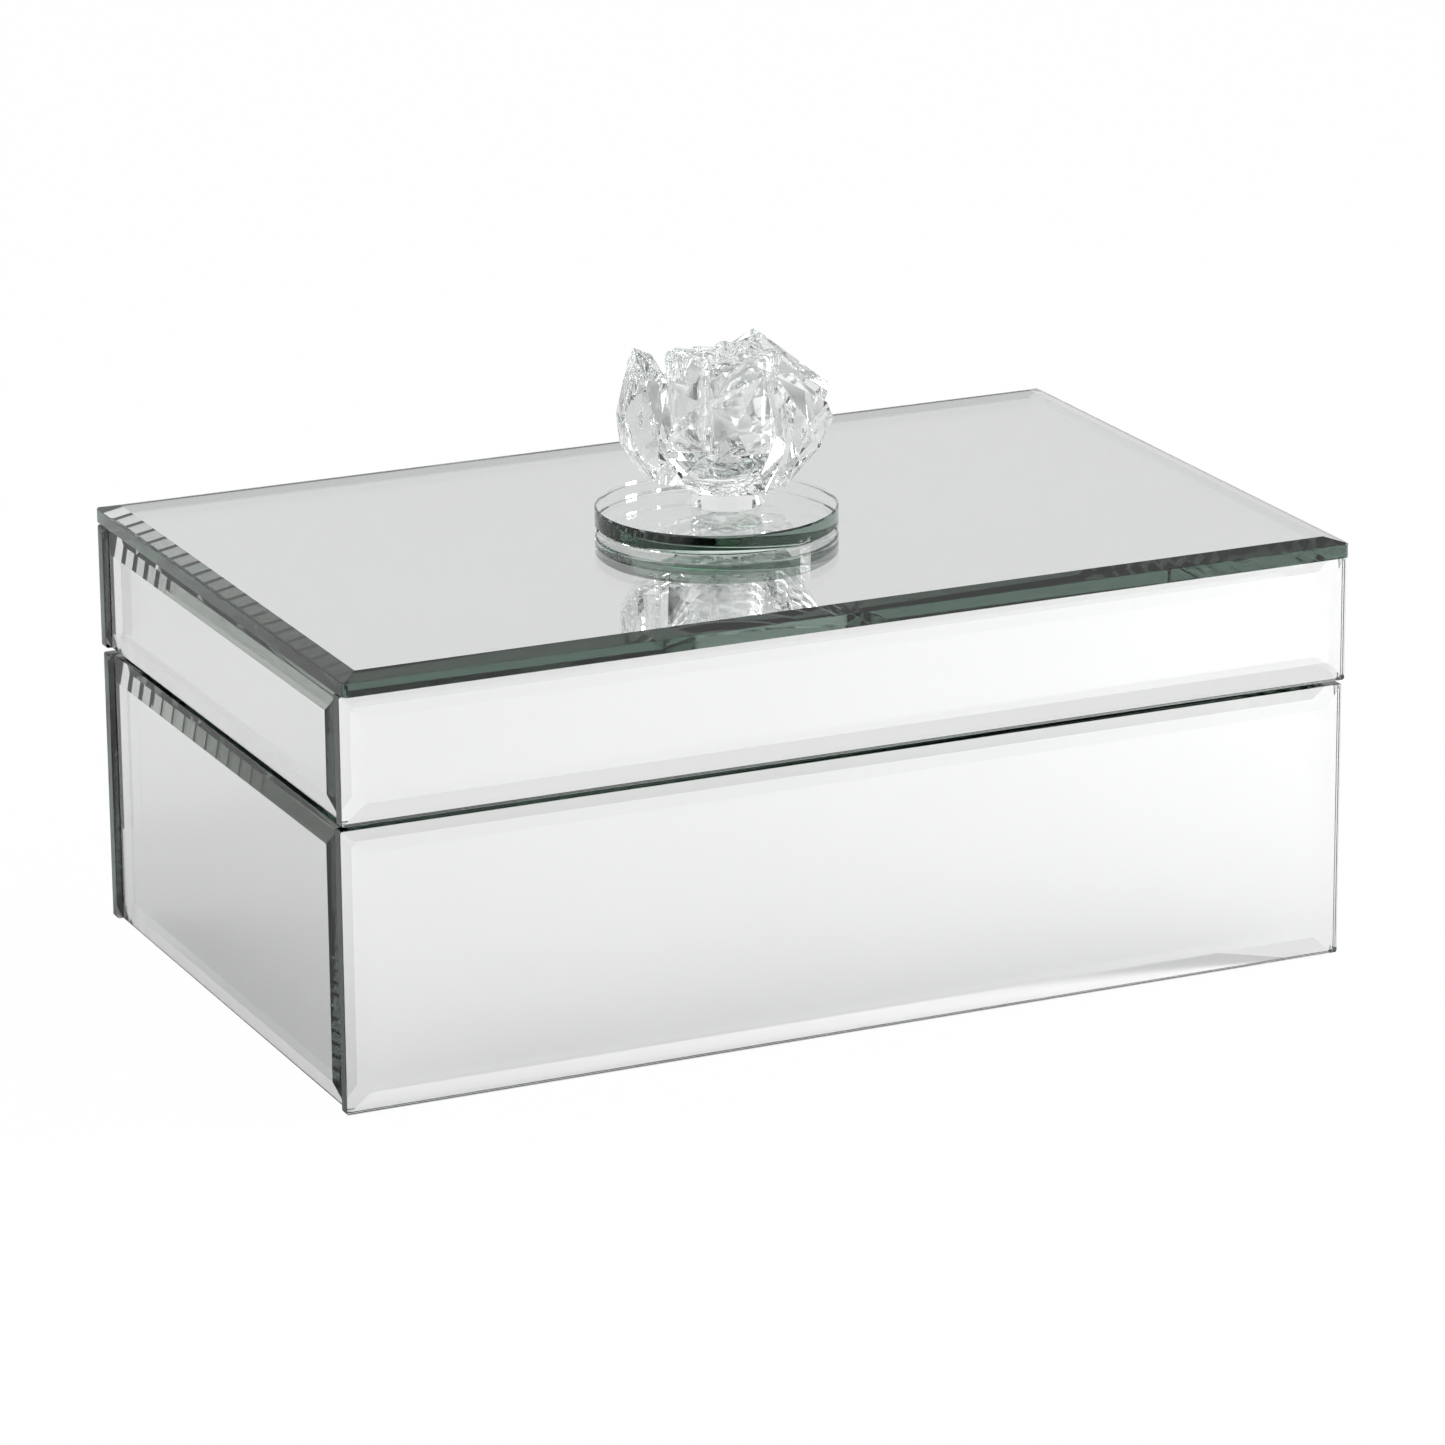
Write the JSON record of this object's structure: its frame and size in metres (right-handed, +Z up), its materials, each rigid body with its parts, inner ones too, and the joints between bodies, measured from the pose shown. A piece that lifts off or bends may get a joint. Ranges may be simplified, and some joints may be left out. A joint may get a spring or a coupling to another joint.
{
  "type": "mirrored trinket box",
  "caption": "Rectangular vanity trinket box faced with bevelled mirror glass, with a hinged lid, a velvet lining and a crystal rose knob on a clear glass disc.",
  "frame": {"origin": "on the resting surface, under the middle of the box", "axes": "+X along the front to the right as seen from the front, +Y to the back where the hinges are, +Z up"},
  "size_m": [0.22, 0.1422, 0.129],
  "materials": {
    "mirror_glass": "silvered float glass, polished, with a ground and polished bevel",
    "clear_glass": "clear float glass, polished edge",
    "crystal": "clear crystal, cut and polished facets",
    "fibreboard": "fibreboard sealed with matte black paint",
    "velvet": "short-pile black velvet",
    "felt": "black pressed felt",
    "silicone": "clear soft silicone",
    "hinge_steel": "nickel-plated steel"
  },
  "bodies": {
    "base": {"underside_felt": "felt", "base_floor_board": "fibreboard", "base_front_board": "fibreboard", "base_back_board": "fibreboard", "base_left_board": "fibreboard", "base_right_board": "fibreboard", "base_front_mirror": "mirror_glass", "base_back_mirror": "mirror_glass", "base_left_mirror": "mirror_glass", "base_right_mirror": "mirror_glass", "base_floor_pad": "velvet", "base_front_lining": "velvet", "base_back_lining": "velvet", "base_left_lining": "velvet", "base_right_lining": "velvet", "rim_bumpers": "silicone", "left_hinge_base_leaf": "hinge_steel", "right_hinge_base_leaf": "hinge_steel", "left_hinge_pin": "hinge_steel", "right_hinge_pin": "hinge_steel", "base_hinge_screws": "hinge_steel"},
    "lid": {"lid_top_board": "fibreboard", "lid_front_board": "fibreboard", "lid_back_board": "fibreboard", "lid_left_board": "fibreboard", "lid_right_board": "fibreboard", "lid_front_mirror": "mirror_glass", "lid_back_mirror": "mirror_glass", "lid_left_mirror": "mirror_glass", "lid_right_mirror": "mirror_glass", "lid_top_mirror": "mirror_glass", "lid_pad": "velvet", "lid_front_lining": "velvet", "lid_back_lining": "velvet", "lid_left_lining": "velvet", "lid_right_lining": "velvet", "left_hinge_lid_leaf": "hinge_steel", "right_hinge_lid_leaf": "hinge_steel", "lid_hinge_screws": "hinge_steel", "knob_disc": "clear_glass", "rose_foot": "crystal", "outer_petal_left": "crystal", "outer_petal_front": "crystal", "outer_petal_right": "crystal", "outer_petal_back_right": "crystal", "outer_petal_back_left": "crystal", "inner_petal_left": "crystal", "inner_petal_front": "crystal", "inner_petal_back": "crystal", "rose_bud": "crystal"}
  },
  "joints": [
    {"name": "lid_hinge", "type": "hinge", "parent": "base", "child": "lid", "pos_m": [0, 0.0707, 0.05905], "axis": [-1, 0, 0], "range_deg": [0, 100]}
  ]
}
